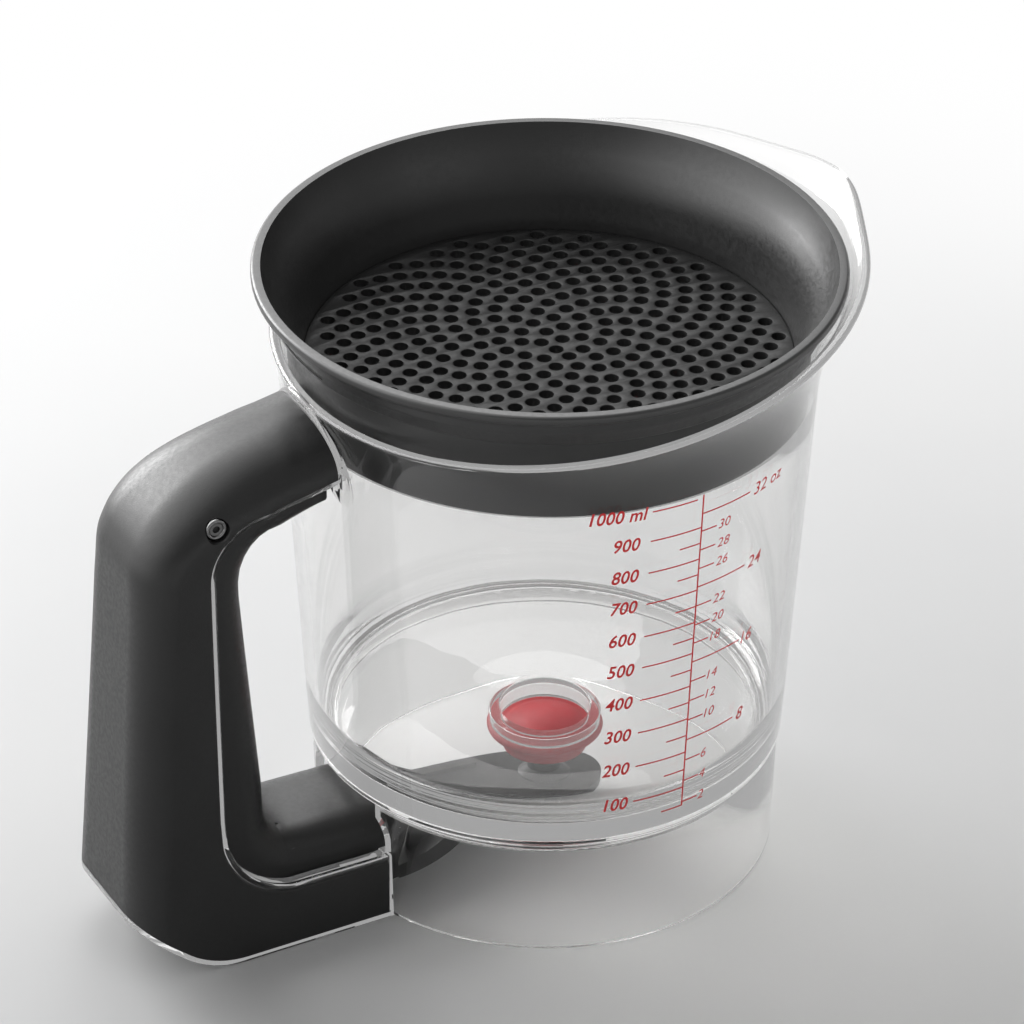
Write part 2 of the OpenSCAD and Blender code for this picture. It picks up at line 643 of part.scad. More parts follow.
module strainer_bowl() {
    rim_edge = strainer_r - 2.3; // inner edge of the flat rim
    flare_rx = strainer_r - 0.6 - shoulder_r - 1.5;
    wall_foot = [screen_r + screen_gap, screen_z + 0.6];
    wall_top = [rim_edge - 0.3, strainer_z - 0.8];
    outer = concat(
        [[lower_r(strainer_foot_z) - strainer_wall, strainer_foot_z],
            [lower_r(strainer_foot_z), strainer_foot_z],
            [lower_r(shoulder_z) - 0.4, shoulder_z - 0.6]],
        [[shoulder_r, shoulder_z + 0.2], [shoulder_r + 0.5, shoulder_z + 0.8],
            [shoulder_r + 0.8, band_z - 0.5], [shoulder_r + 1.2, band_z]],
        arc_pts([strainer_r - 0.6, band_z + 1.2], flare_rx, rim_under_z - band_z - 1.2, 180, 100, 5),
        arc_pts([strainer_r - 0.6, rim_under_z + 0.6], 0.6, 0.6, -90, 0, 3),
        arc_pts([strainer_r - 0.8, strainer_z - 0.8], 0.8, 0.8, 0, 90, 4));
    inner = concat(
        [[rim_edge, strainer_z], wall_top],
        [for (i = [len(swell) - 1:-1:0]) [lerp(wall_foot[0], wall_top[0], swell[i][1]),
            lerp(wall_foot[1], wall_top[1], swell[i][0])]],
        [wall_foot, [screen_r + screen_gap, screen_z - screen_t],
            [screen_r - screen_seat_w, screen_z - screen_t],
            [screen_r - screen_seat_w, screen_z - screen_t - 1.4],
            [lower_r(strainer_foot_z) - strainer_wall, screen_z - screen_t - 2.2]]);
    color(black_color) difference() {
        rotate_extrude() polygon(concat(outer, inner));
        // thumb slot above the handle
        rotate(180) rotate([0, 0, -9]) rotate_extrude(angle = 18)
            translate([shoulder_r + 0.2, band_z - 1.7]) square([4, 1.2]);
    }
}

hole_count = floor(pow((screen_r - screen_seat_w - hole_r - 0.1) / hole_spread, 2));
golden = 137.508;

module strainer_screen() {
    color(black_color) translate([0, 0, screen_z - screen_t]) linear_extrude(screen_t)
        difference() {
            circle(r = screen_r);
            for (i = [0:hole_count - 1]) rotate(-golden * i)
                translate([hole_spread * sqrt(i + 0.5), 0]) circle(r = hole_r, $fn = 24);
        }
}

cup();
stand();
grip_cover();
trigger();
release_arm();
arm_screws();
stopper();
pivot_pin();
pivot_bushes();
return_spring();
strainer_bowl();
strainer_screen();
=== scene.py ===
import math

import bpy
import bmesh
import numpy as np
from mathutils import Matrix, Vector


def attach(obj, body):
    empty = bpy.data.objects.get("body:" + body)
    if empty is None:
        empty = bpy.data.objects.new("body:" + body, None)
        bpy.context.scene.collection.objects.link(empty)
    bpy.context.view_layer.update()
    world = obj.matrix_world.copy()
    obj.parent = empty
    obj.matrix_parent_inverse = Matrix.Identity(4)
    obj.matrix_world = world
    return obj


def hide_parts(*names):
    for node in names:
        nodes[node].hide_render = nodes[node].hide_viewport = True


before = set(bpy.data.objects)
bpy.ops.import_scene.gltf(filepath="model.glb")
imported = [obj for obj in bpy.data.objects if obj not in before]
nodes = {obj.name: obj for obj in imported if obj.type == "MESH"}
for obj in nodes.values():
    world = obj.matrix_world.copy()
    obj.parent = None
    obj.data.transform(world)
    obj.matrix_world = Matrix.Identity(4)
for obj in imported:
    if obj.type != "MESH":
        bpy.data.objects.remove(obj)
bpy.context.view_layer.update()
MM = 0.001
rad = math.radians


# ---------------------------------------------------------------- sizes, in millimetres and degrees

# the cup's outer wall: its radius where it stands on the skirt, its lean, and that height
FOOT_R, DRAFT, STAND_H = 57.4, 3.5, 30.7
# the strainer stands on a ledge inside the cup, and the wall is thinner above it
CUP_WALL, LEDGE_W, LEDGE_Z = 2.7, 0.8, 125.7
UPPER_WALL = CUP_WALL - LEDGE_W
RIM_Z, RIM_TILT, RIM_WALL = LEDGE_Z + 22.3, 9, 2.4
# the floor falls towards an outlet with a collar that reaches below it
FLOOR_T, FLOOR_FALL, OUTLET_R, OUTLET_WALL, OUTLET_DROP = 2.6, 3, 11, 2.4, 3
# above the foot's rounding and the floor's corner the wall is plain
PLAIN_Z = STAND_H + 10
# the clear skirt
SKIRT_FOOT_R, SKIRT_TOP_R, SKIRT_WALL = 55.8, 56.6, 2.2
# the handle: a black cover, and inside it the clear frame
COVER_WALL, FRAME_INSET, FRAME_WALL = 2.2, 2.4, 1.8
FRAME_IN = FRAME_INSET + FRAME_WALL
FOOT_Z, HEEL_R, HEEL_ANGLE, LEG_HALF_W = 1.3, 25, 40, 20.3
# measured out from the cup's foot
REAR_X, HEEL_X = -62.1, -33.2
# the trigger's pivot, as x and z
PIN, PIN_BORE_R = (-94.6, 120.4), 1.65


# ---------------------------------------------------------------- curves

def tan(a):
    return math.tan(rad(a))


def lerp(a, b, t):
    return a + (b - a) * t


def line(a, b, n):
    """Points from a to b in n equal steps."""
    return [(lerp(a[0], b[0], i / n), lerp(a[1], b[1], i / n)) for i in range(n + 1)]


def arc(centre, rx, rz, start, end, n):
    """Points round part of an ellipse, in n equal steps of the angle."""
    angles = [rad(lerp(start, end, i / n)) for i in range(n + 1)]
    return [(centre[0] + rx * math.cos(a), centre[1] + rz * math.sin(a)) for a in angles]


def circle(radius, count, centre=(0, 0)):
    """A closed ring of points."""
    angles = [2 * math.pi * k / count for k in range(count)]
    return [(centre[0] + radius * math.cos(a), centre[1] + radius * math.sin(a)) for a in angles]


def bezier(p, t):
    w = ((1 - t) ** 3, 3 * t * (1 - t) ** 2, 3 * t * t * (1 - t), t ** 3)
    return (sum(w[k] * p[k][0] for k in range(4)), sum(w[k] * p[k][1] for k in range(4)))


def rounded(points, radii, steps=4):
    """A closed outline with its corners rounded by these radii."""
    out = []
    n = len(points)
    for i in range(n):
        p, a, b = (np.array(points[k % n], float) for k in (i, i - 1, i + 1))
        r = radii[i]
        if r <= 0:
            out.append(tuple(p))
            continue
        len_a, len_b = np.linalg.norm(a - p), np.linalg.norm(b - p)
        u, v = (a - p) / len_a, (b - p) / len_b
        half = math.acos(max(-1, min(1, float(u @ v)))) / 2
        # a rounding takes less than half of either side, so two never meet
        d = min(r / math.tan(half), 0.45 * len_a, 0.45 * len_b)
        r = d * math.tan(half)
        c = p + (u + v) / np.linalg.norm(u + v) * r / math.sin(half)
        s, e = p + u * d - c, p + v * d - c
        turn = math.atan2(s[0] * e[1] - s[1] * e[0], float(s @ e))
        for k in range(steps + 1):
            t = turn * k / steps
            out.append((c[0] + s[0] * math.cos(t) - s[1] * math.sin(t),
                        c[1] + s[0] * math.sin(t) + s[1] * math.cos(t)))
    return out


def smooth_table(values):
    """A smooth curve through values at 0, 1, 2 ..., without overshoot."""
    y = np.asarray(values, float)
    d = np.diff(y)
    m = np.zeros(len(y))
    m[0], m[-1] = d[0], d[-1]
    for k in range(1, len(y) - 1):
        m[k] = 0 if d[k - 1] * d[k] <= 0 else 2 * d[k - 1] * d[k] / (d[k - 1] + d[k])

    def at(s):
        k = int(min(max(math.floor(s), 0), len(y) - 2))
        t = s - k
        h = ((1 + 2 * t) * (1 - t) ** 2, t * (1 - t) ** 2, t * t * (3 - 2 * t), t * t * (t - 1))
        return h[0] * y[k] + h[1] * m[k] + h[2] * y[k + 1] + h[3] * m[k + 1]
    return at


# ---------------------------------------------------------------- meshes

def new_object(name, data):
    ob = bpy.data.objects.new(name, data)
    bpy.context.scene.collection.objects.link(ob)
    return ob


def final_mesh(ob):
    """The mesh of an object with its modifiers, or of a filled curve or text."""
    dg = bpy.context.evaluated_depsgraph_get()
    dg.update()
    return bpy.data.meshes.new_from_object(ob.evaluated_get(dg))


def shade(ob, sharp):
    """Turns the faces outwards and shades them smooth, except at edges sharper than this angle."""
    bm = bmesh.new()
    bm.from_mesh(ob.data)
    bmesh.ops.recalc_face_normals(bm, faces=bm.faces)
    for f in bm.faces:
        f.smooth = True
    for e in bm.edges:
        e.smooth = e.is_manifold and e.calc_face_angle(0) < rad(sharp)
    bm.to_mesh(ob.data)
    bm.free()


def mesh_object(name, verts, faces, sharp=35):
    """A new object from points in millimetres."""
    me = bpy.data.meshes.new(name)
    me.from_pydata([tuple(v) for v in np.asarray(verts) * MM], [], faces)
    ob = new_object(name, me)
    shade(ob, sharp)
    return ob


def smooth_node(ob, angle=32):
    """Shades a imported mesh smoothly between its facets, without touching its vertices."""
    name = "smooth_%d" % angle
    tree = bpy.data.node_groups.get(name)
    if tree is None:
        tree = bpy.data.node_groups.new(name, "GeometryNodeTree")
        tree.interface.new_socket("Geometry", in_out="INPUT", socket_type="NodeSocketGeometry")
        tree.interface.new_socket("Geometry", in_out="OUTPUT", socket_type="NodeSocketGeometry")
        new, link = tree.nodes.new, tree.links.new
        start, end = new("NodeGroupInput"), new("NodeGroupOutput")
        merge = new("GeometryNodeMergeByDistance")
        merge.inputs["Distance"].default_value = 0.002 * MM
        drop = new("GeometryNodeRemoveAttribute")
        drop.inputs["Name"].default_value = "custom_normal"
        bend = new("GeometryNodeInputMeshEdgeAngle")
        is_soft = new("FunctionNodeCompare")
        is_soft.data_type, is_soft.operation = "FLOAT", "LESS_EQUAL"
        is_soft.inputs[1].default_value = rad(angle)
        faces = new("GeometryNodeSetShadeSmooth")
        faces.domain = "FACE"
        edges = new("GeometryNodeSetShadeSmooth")
        edges.domain = "EDGE"
        link(start.outputs[0], merge.inputs["Geometry"])
        link(merge.outputs[0], drop.inputs[0])
        link(drop.outputs[0], faces.inputs["Geometry"])
        link(faces.outputs[0], edges.inputs["Geometry"])
        link(bend.outputs["Unsigned Angle"], is_soft.inputs[0])
        link(is_soft.outputs[0], edges.inputs["Shade Smooth"])
        link(edges.outputs[0], end.inputs[0])
    mod = ob.modifiers.new("smooth", "NODES")
    mod.node_group = tree


def tube_grid(rings):
    """Points and faces for equal closed rings of points, joined in order round a closed loop."""
    m, n = len(rings), len(rings[0])
    verts = [p for ring in rings for p in ring]
    faces = []
    for i in range(m):
        k = (i + 1) % m
        for j in range(n):
            q = (j + 1) % n
            faces.append((i * n + j, i * n + q, k * n + q, k * n + j))
    return verts, faces


def turned(name, profile, count=192):
    """A ring about the cup's axis from a closed (radius, height) outline."""
    angles = [2 * math.pi * j / count for j in range(count)]
    rings = [[(r * math.cos(a), r * math.sin(a), z) for r, z in profile] for a in angles]
    return mesh_object(name, *tube_grid(rings))


def stacked(name, rings):
    """A solid through a stack of equal closed rings of points, with both ends capped."""
    n, m = len(rings[0]), len(rings)
    faces = [tuple(range(n)), tuple(reversed(range((m - 1) * n, m * n)))]
    faces += [(i * n + j, i * n + (j + 1) % n, (i + 1) * n + (j + 1) % n, (i + 1) * n + j)
              for i in range(m - 1) for j in range(n)]
    return mesh_object(name, [p for ring in rings for p in ring], faces)


def prism(name, outline, low, high):
    """A prism along Z from an outline in X and Y."""
    return stacked(name, [[(x, y, z) for x, y in outline] for z in (low, high)])


def prism_x(name, outline, low, high):
    """A prism along X from an outline in Y and Z."""
    return stacked(name, [[(x, y, z) for y, z in outline] for x in (low, high)])


def prism_y(name, outline, low, high):
    """A prism along Y from an outline in X and Z."""
    return stacked(name, [[(x, y, z) for x, z in outline] for y in (low, high)])


def cone(name, low_r, low_z, high_r, high_z, count=192):
    """A solid cone about the cup's axis."""
    ends = ((low_r, low_z), (high_r, high_z))
    return stacked(name, [[(x, y, z) for x, y in circle(r, count)] for r, z in ends])


def spun(name, profile, centre, count=64):
    """A solid about an axis along Y, from (radius, y) points."""
    return stacked(name, [[(x, y, z) for x, z in circle(r, count, centre)] for r, y in profile])


def pad(name, outline, outer, depth, edge):
    """A pad with a rounded edge on the side towards -X, its face at a radius about the cup's axis."""
    ys, zs = [p[0] for p in outline], [p[1] for p in outline]
    cy, cz = (min(ys) + max(ys)) / 2, (min(zs) + max(zs)) / 2
    half = min(max(ys) - cy, max(zs) - cz)

    def ring(scale, down):
        pts = [(cy + (y - cy) * scale, cz + (z - cz) * scale) for y, z in outline]
        return [(-math.sqrt((outer - down) ** 2 - y * y), y, z) for y, z in pts]

    shares = [0.03, 0.2, 0.4, 0.6, 0.8]
    rings = [ring(k, 0) for k in shares]
    rings += [ring(1 - edge * (1 - math.sin(rad(t))) / half, edge * (1 - math.cos(rad(t))))
              for t in (0, 22.5, 45, 67.5, 90)]
    rings += [ring(k, depth) for k in [1] + shares[::-1]]
    return stacked(name, rings)


def carve(ob, tool, operation="DIFFERENCE"):
    """Cuts a tool from an object, or joins it on, and deletes the tool."""
    mod = ob.modifiers.new("cut", "BOOLEAN")
    mod.operation, mod.solver, mod.object = operation, "MANIFOLD", tool
    me = final_mesh(ob)
    ob.modifiers.clear()
    ob.data = me
    bpy.data.objects.remove(tool)


# ---------------------------------------------------------------- nodes of materials

def mapped(t, scale):
    """The object's coordinates, scaled by one number or by three."""
    place = t.nodes.new("ShaderNodeTexCoord")
    mapping = t.nodes.new("ShaderNodeMapping")
    mapping.inputs["Scale"].default_value = scale if isinstance(scale, tuple) else (scale,) * 3
    t.links.new(place.outputs["Object"], mapping.inputs["Vector"])
    return mapping.outputs["Vector"]


def noise(t, scale, detail, rough=0.5):
    n = t.nodes.new("ShaderNodeTexNoise")
    n.inputs["Scale"].default_value = 1.0
    n.inputs["Detail"].default_value = detail
    n.inputs["Roughness"].default_value = rough
    t.links.new(mapped(t, scale), n.inputs["Vector"])
    return n.outputs["Fac"]


def ramp(t, fac, start, low, end, high):
    """A colour that goes from low where the factor is start to high where it is end."""
    r = t.nodes.new("ShaderNodeValToRGB")
    for element, position, colour in zip(r.color_ramp.elements, (start, end), (low, high)):
        element.position = position
        element.color = tuple(colour) + (1,)
    t.links.new(fac, r.inputs["Fac"])
    return r.outputs["Color"]


def grey(level):
    return (level,) * 3


def bump(t, height, strength, distance, bsdf):
    b = t.nodes.new("ShaderNodeBump")
    b.inputs["Strength"].default_value = strength
    b.inputs["Distance"].default_value = distance
    t.links.new(height, b.inputs["Height"])
    t.links.new(b.outputs["Normal"], bsdf.inputs["Normal"])


def math_node(t, operation, a, b):
    """The result for a socket and a second socket or a number."""
    n = t.nodes.new("ShaderNodeMath")
    n.operation = operation
    t.links.new(a, n.inputs[0])
    if isinstance(b, float):
        n.inputs[1].default_value = b
    else:
        t.links.new(b, n.inputs[1])
    return n.outputs["Value"]


def dot(t, direction, along):
    n = t.nodes.new("ShaderNodeVectorMath")
    n.operation = "DOT_PRODUCT"
    n.inputs[1].default_value = along
    t.links.new(direction, n.inputs[0])
    return n.outputs["Value"]


def map_range(t, value, start, end, low=0.0, high=1.0, kind="LINEAR"):
    """A number that goes from low where the value is start to high where it is end."""
    n = t.nodes.new("ShaderNodeMapRange")
    n.interpolation_type = kind
    for key, number in (("From Min", start), ("From Max", end), ("To Min", low), ("To Max", high)):
        n.inputs[key].default_value = number
    t.links.new(value, n.inputs["Value"])
    return n.outputs["Result"]


def light_node(t, kind, colour):
    """An emission or a background of strength 1."""
    n = t.nodes.new(kind)
    n.inputs["Color"].default_value = colour + (1,)
    n.inputs["Strength"].default_value = 1.0
    return n


def mix_shader(t, fac, a, b):
    n = t.nodes.new("ShaderNodeMixShader")
    t.links.new(fac, n.inputs["Fac"])
    t.links.new(a, n.inputs[1])
    t.links.new(b, n.inputs[2])
    return n.outputs["Shader"]


def new_material(name):
    m = bpy.data.materials.new(name)
    m.use_nodes = True
    t = m.node_tree
    return m, t, t.nodes["Principled BSDF"], t.nodes["Material Output"]


# ---------------------------------------------------------------- materials

def black_plastic(name, dark, light, rough, grain, gloss=0.5):
    m, t, b, _ = new_material(name)
    t.links.new(ramp(t, noise(t, 60, 4), 0.3, grey(dark), 0.7, grey(light)), b.inputs["Base Color"])
    t.links.new(ramp(t, noise(t, 900, 3), 0.35, grey(rough - 0.05), 0.65, grey(rough + 0.05)),
                b.inputs["Roughness"])
    b.inputs["Specular IOR Level"].default_value = gloss
    b.inputs["IOR"].default_value = 1.5
    bump(t, noise(t, 3200, 2, 0.6), grain, 0.06 * MM, b)
    return m


def clear_plastic():
    tint = (0.945, 0.943, 0.940)
    m, t, b, out = new_material("clear_plastic")
    t.links.new(ramp(t, noise(t, 25, 2), 0.2, [0.99 * c for c in tint], 0.8, tint), b.inputs["Base Color"])
    b.inputs["Transmission Weight"].default_value = 1.0
    b.inputs["Specular IOR Level"].default_value = 0.3
    b.inputs["Roughness"].default_value = 0.0
    b.inputs["IOR"].default_value = 1.46
    bump(t, noise(t, 45, 2), 0.08, 0.4 * MM, b)
    # painted glow: a ray that has turned round inside many times shows a pale emission, standing in for the
    # room's light it would have gathered
    path = t.nodes.new("ShaderNodeLightPath")
    deep = math_node(t, "GREATER_THAN", path.outputs["Ray Depth"], 7.5)
    mirrored = math_node(t, "GREATER_THAN", path.outputs["Glossy Depth"], 2.5)
    trapped = math_node(t, "MAXIMUM", deep, mirrored)
    painted_glow = light_node(t, "ShaderNodeEmission", grey(0.38))
    seen = mix_shader(t, trapped, b.outputs["BSDF"], painted_glow.outputs["Emission"])
    # light passes through it to the floor instead of leaving a black shadow
    passed = t.nodes.new("ShaderNodeBsdfTransparent")
    passed.inputs["Color"].default_value = (0.91, 0.91, 0.905, 1)
    seen = mix_shader(t, path.outputs["Is Shadow Ray"], seen, passed.outputs["BSDF"])
    t.links.new(seen, out.inputs["Surface"])
    return m


def steel(name, dark, light, rough):
    m, t, b, _ = new_material(name)
    streaks = noise(t, (400, 400, 2500), 3)
    t.links.new(ramp(t, streaks, 0.3, grey(dark), 0.7, grey(light)), b.inputs["Base Color"])
    b.inputs["Metallic"].default_value = 1.0
    b.inputs["Roughness"].default_value = rough
    bump(t, noise(t, 2500, 2), 0.1, 0.04 * MM, b)
    return m


def silicone():
    m, t, b, _ = new_material("red_silicone")
    t.links.new(ramp(t, noise(t, 90, 3), 0.3, (0.42, 0.012, 0.02), 0.7, (0.52, 0.02, 0.03)),
                b.inputs["Base Color"])
    b.inputs["Roughness"].default_value = 0.45
    b.inputs["Subsurface Weight"].default_value = 0.1
    b.inputs["Subsurface Scale"].default_value = 2 * MM
    bump(t, noise(t, 1500, 2), 0.1, 0.04 * MM, b)
    return m


def red_ink():
    m, t, b, _ = new_material("red_ink")
    t.links.new(ramp(t, noise(t, 700, 3), 0.3, (0.62, 0.014, 0.016), 0.7, (0.7, 0.022, 0.024)),
                b.inputs["Base Color"])
    b.inputs["Roughness"].default_value = 0.4
    return m


mat_clear = clear_plastic()
mat_black = black_plastic("black_plastic", 0.0065, 0.0095, 0.42, 0.6)
mat_strainer = black_plastic("black_strainer", 0.020, 0.027, 0.38, 0.22, 0.7)
mat_screen = black_plastic("black_screen", 0.008, 0.012, 0.46, 0.25, 0.25)
mat_steel = steel("steel", 0.55, 0.75, 0.28)
mat_dark_steel = steel("dark_steel", 0.16, 0.26, 0.22)
mat_red = silicone()
mat_ink = red_ink()


def paint(ob, mat):
    ob.data.materials.clear()
    ob.data.materials.append(mat)


for mat, names in ((mat_clear, ("cup", "stand")),
                   (mat_black, ("grip_cover", "trigger", "release_arm")),
                   (mat_strainer, ("strainer_bowl", "strainer_screen")),
                   (mat_steel, ("arm_screws", "return_spring")),
                   (mat_dark_steel, ("pivot_pin", "pivot_bushes")),
                   (mat_red, ("stopper",))):
    for name in names:
        for slot in nodes[name].material_slots:
            slot.material = mat

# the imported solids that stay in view
for name in ("release_arm", "arm_screws", "stopper", "pivot_pin", "return_spring", "strainer_bowl"):
    smooth_node(nodes[name])


# ---------------------------------------------------------------- the clear cup

def wall_r(z):
    """The cup's outer radius at a height, without the rim's flare."""
    return FOOT_R + (z - STAND_H) * tan(DRAFT)


def rim_out(a):
    """How far the rim stands out from the wall: least over the handle, most at the lip."""
    degrees = math.degrees(math.atan2(math.sin(a), math.cos(a)))
    lip = 4.4 * math.exp(-(degrees / 13) ** 2)
    return lerp(0.55, 9.1, (1 + math.cos(a)) / 2) + 1.6 * math.sin(a) ** 2 + lip


def rim_r(a):
    return (wall_r(RIM_Z) + rim_out(a)) / (1 - tan(RIM_TILT) * math.cos(a) * tan(DRAFT))


def rim_h(a):
    return RIM_Z + tan(RIM_TILT) * rim_r(a) * math.cos(a)


def flare(a, u, inset):
    """Radius and height at share u of the way from the ledge to the rim, this far inside the outer face."""
    z = lerp(LEDGE_Z, rim_h(a), u)
    return wall_r(z) + (rim_r(a) - wall_r(rim_h(a))) * u ** 2.2 - inset, z


def cup_underside():
    """From the floor down the outlet's collar, round the spigot inside the skirt and up to the plain wall."""
    outlet_z, outlet_out = STAND_H - OUTLET_DROP, OUTLET_R + OUTLET_WALL
    spigot_out, spigot_z = SKIRT_TOP_R - SKIRT_WALL - 0.15, STAND_H - 3
    spigot_in = spigot_out - 2.2
    outlet = [(OUTLET_R, STAND_H + FLOOR_T), (OUTLET_R, outlet_z)]
    outlet += [(outlet_out, outlet_z), (outlet_out, STAND_H)]
    spigot = [(spigot_in, STAND_H), (spigot_in, spigot_z), (spigot_out, spigot_z), (spigot_out, STAND_H)]
    return rounded(outlet + spigot + [(FOOT_R, STAND_H), (FOOT_R + 0.6, PLAIN_Z)],
                   [0.5, 0.3, 0.3, 0.4, 0.4, 0.4, 0.4, 0.3, 1.1, 0])


def cup_floor():
    """From the plain wall's inside round the floor's corner and down to the outlet."""
    corner, floor_z = 5, STAND_H + FLOOR_T
    edge_r = wall_r(floor_z) - CUP_WALL
    edge_z = floor_z + (edge_r - OUTLET_R) * tan(FLOOR_FALL)
    start = (edge_r - corner, edge_z - corner * tan(FLOOR_FALL))
    end = (OUTLET_R + 2, floor_z + 2 * tan(FLOOR_FALL))
    return arc((start[0], start[1] + corner), corner, corner, 0, -90, 8) + line(start, end, 6)[1:]


def rim_edge(r, z):
    """The rounded top of the wall, from the outside to the inside."""
    q = 0.85
    outer, inner, low = r - q, r - RIM_WALL + q, z - q
    edge = [(outer + q * math.cos(rad(t)), low + q * math.sin(rad(t))) for t in (-20, 5, 30, 55, 78, 90)]
    edge += [(inner - q * math.sin(rad(t)), low + q * math.cos(rad(t))) for t in (0, 15, 40, 65, 90)]
    return edge


def make_cup():
    count = 288
    underside, floor_line = cup_underside(), cup_floor()
    heights = [lerp(PLAIN_Z, LEDGE_Z - 0.8, k / 16) for k in range(17)]
    outside = [(wall_r(z), z) for z in heights[1:]]
    inside = [(wall_r(z) - CUP_WALL, z) for z in reversed(heights[:-1])]
    upper_r, lower_r = wall_r(LEDGE_Z) - UPPER_WALL, wall_r(LEDGE_Z) - CUP_WALL
    ledge = [(upper_r, LEDGE_Z + 0.25), (upper_r - 0.07, LEDGE_Z + 0.07), (upper_r - 0.25, LEDGE_Z),
             (lower_r + 0.2, LEDGE_Z), (lower_r + 0.05, LEDGE_Z - 0.05), (lower_r, LEDGE_Z - 0.25)]
    shares = [k / 14 for k in range(1, 14)]
    rings = []
    for j in range(count):
        a = 2 * math.pi * j / count
        outline = underside + outside
        outline += [flare(a, u, 0) for u in shares]
        outline += rim_edge(*flare(a, 1, 0))
        outline += [flare(a, u, lerp(UPPER_WALL, RIM_WALL, u ** 5)) for u in reversed(shares)]
        outline += ledge + inside + floor_line
        rings.append([(r * math.cos(a), r * math.sin(a), z) for r, z in outline])
    return mesh_object("clear_cup", *tube_grid(rings), sharp=50)


# ---------------------------------------------------------------- the handle's curves

def at_handle(points):
    """The handle's curves are measured out from the cup's foot."""
    return [(x - FOOT_R, z) for x, z in points]


# stations along the handle from the collar to the foot, on its inner and on its outer side
INNER = at_handle(line((-1.6, LEDGE_Z - 0.4), (-20.1, LEDGE_Z - 4), 3)
                  + arc((-24.1, LEDGE_Z - 18.9), 15.3, 14, 88, 180, 7)
                  + line((-39.4, LEDGE_Z - 24.2), (-39.1, 42), 7)
                  + arc((-18, 37.3), 21, 21, 177, 262, 7)
                  + line((-15.6, 16.4), (7.4, 16.1), 3))
BACK = [(-17.6, LEDGE_Z + 8.9), (-40.1, LEDGE_Z + 5.3), (-57.1, LEDGE_Z - 4.2), (-55.8, LEDGE_Z - 24.7)]
OUTER = at_handle(line((-1.6, LEDGE_Z + 12.3), BACK[0], 3)
                  + [bezier(BACK, i / 8) for i in range(1, 9)]
                  + line((-56, LEDGE_Z - 28.7), (REAR_X + 2.1, 36), 7)
                  + line((REAR_X + 1.7, 28), (REAR_X + 0.5, 8), 3)
                  + [(REAR_X, 0)]
                  + line((-54, 0), (-14, 0), 5)
                  + [(7.4, 0)])
STATIONS = len(INNER)


def eased(i, low, high, first, last):
    t = min(1, max(0, (i - first) / (last - first)))
    return lerp(low, high, t * t * (3 - 2 * t))


def half_w(i):
    """Half of the handle's width: narrow at the collar, widest at the foot."""
    return eased(i, 16.6, 18, 0, 10) if i < 10 else eased(i, 18, LEG_HALF_W, 10, 26)


in_x, in_z = smooth_table([p[0] for p in INNER]), smooth_table([p[1] for p in INNER])
out_x, out_z = smooth_table([p[0] for p in OUTER]), smooth_table([p[1] for p in OUTER])
width_at = smooth_table([half_w(i) for i in range(STATIONS)])
# the radii of the section's outer corners, across the handle and along its depth
corner_y = smooth_table(np.interp(range(STATIONS), [2, 12, 24, 25], [15.5, 10.5, 10, 1.2]))
corner_z = smooth_table(np.interp(range(STATIONS), [2, 12, 22, 24, 25], [12.4, 9, 9.5, 12.5, 1.2]))


def section_point(s, k, inset, lip, corners):
    """Point k of the arched section at station s. k runs from 0 at the -Y edge to 2 * (corners + 2) - 1."""
    f = np.array([in_x(s), in_z(s)])
    g = np.array([out_x(s), out_z(s)])
    depth = np.linalg.norm(g - f)
    d = (g - f) / depth
    w = width_at(s) - inset
    a, b = max(0.6, corner_y(s) - inset), max(0.6, corner_z(s) - inset)
    half = corners + 2
    side = -1 if k < half else 1
    j = k if k < half else 2 * half - 1 - k
    if j == 0:
        y, z = w, lip
    else:
        t = rad(90 * (j - 1) / corners)
        y, z = w - a + a * math.cos(t), depth - inset - b + b * math.sin(t)
    p = f + d * z
    return np.array([p[0], side * y, p[1]])


def cut_station(point, radius, low, high):
    """The station between low and high where a line of points passes this radius about the cup's axis."""
    is_out = math.hypot(*point(low)[:2]) > radius
    for _ in range(40):
        middle = (low + high) / 2
        if (math.hypot(*point(middle)[:2]) > radius) == is_out:
            low = middle
        else:
            high = middle
    return (low + high) / 2


def make_channel(name, inset, wall, near, top_r, foot_r, corners, steps):
    """A bent channel along the handle's curves, its ends cut at two radii about the cup's axis.

    near is the (inset, depth) outline of its edge.
    """
    last = 2 * (corners + 2) - 1
    outline = [(k, inset, 0) for k in range(1, last)]
    outline += [(last, off, lip) for off, lip in near]
    outline += [(k, inset + wall, 0) for k in reversed(range(1, last))]
    outline += [(0, off, lip) for off, lip in reversed(near)]
    arch, edge, n = last - 1, len(near), len(outline)
    inner_end = 2 * arch + edge - 1

    def column(k, off, lip):
        def point(s):
            return section_point(s, k, off, lip, corners)

        start = cut_station(point, top_r, 0.0, 4.0)
        end = cut_station(point, foot_r, 27.5, STATIONS - 1.0)
        return [point(lerp(start, end, t / steps)) for t in range(steps + 1)]

    columns = [column(*spot) for spot in outline]
    verts = [columns[j][i] for i in range(steps + 1) for j in range(n)]
    faces = [(i * n + j, i * n + (j + 1) % n, (i + 1) * n + (j + 1) % n, (i + 1) * n + j)
             for i in range(steps) for j in range(n)]
    cap = [(j, j + 1, inner_end - 1 - j, inner_end - j) for j in range(arch - 1)]
    cap.append(tuple(range(arch - 1, arch + edge + 1)))
    cap.append(tuple(range(inner_end, n)) + (0,))
    faces += cap
    faces += [tuple(steps * n + v for v in reversed(face)) for face in cap]
    return mesh_object(name, verts, faces, sharp=40)


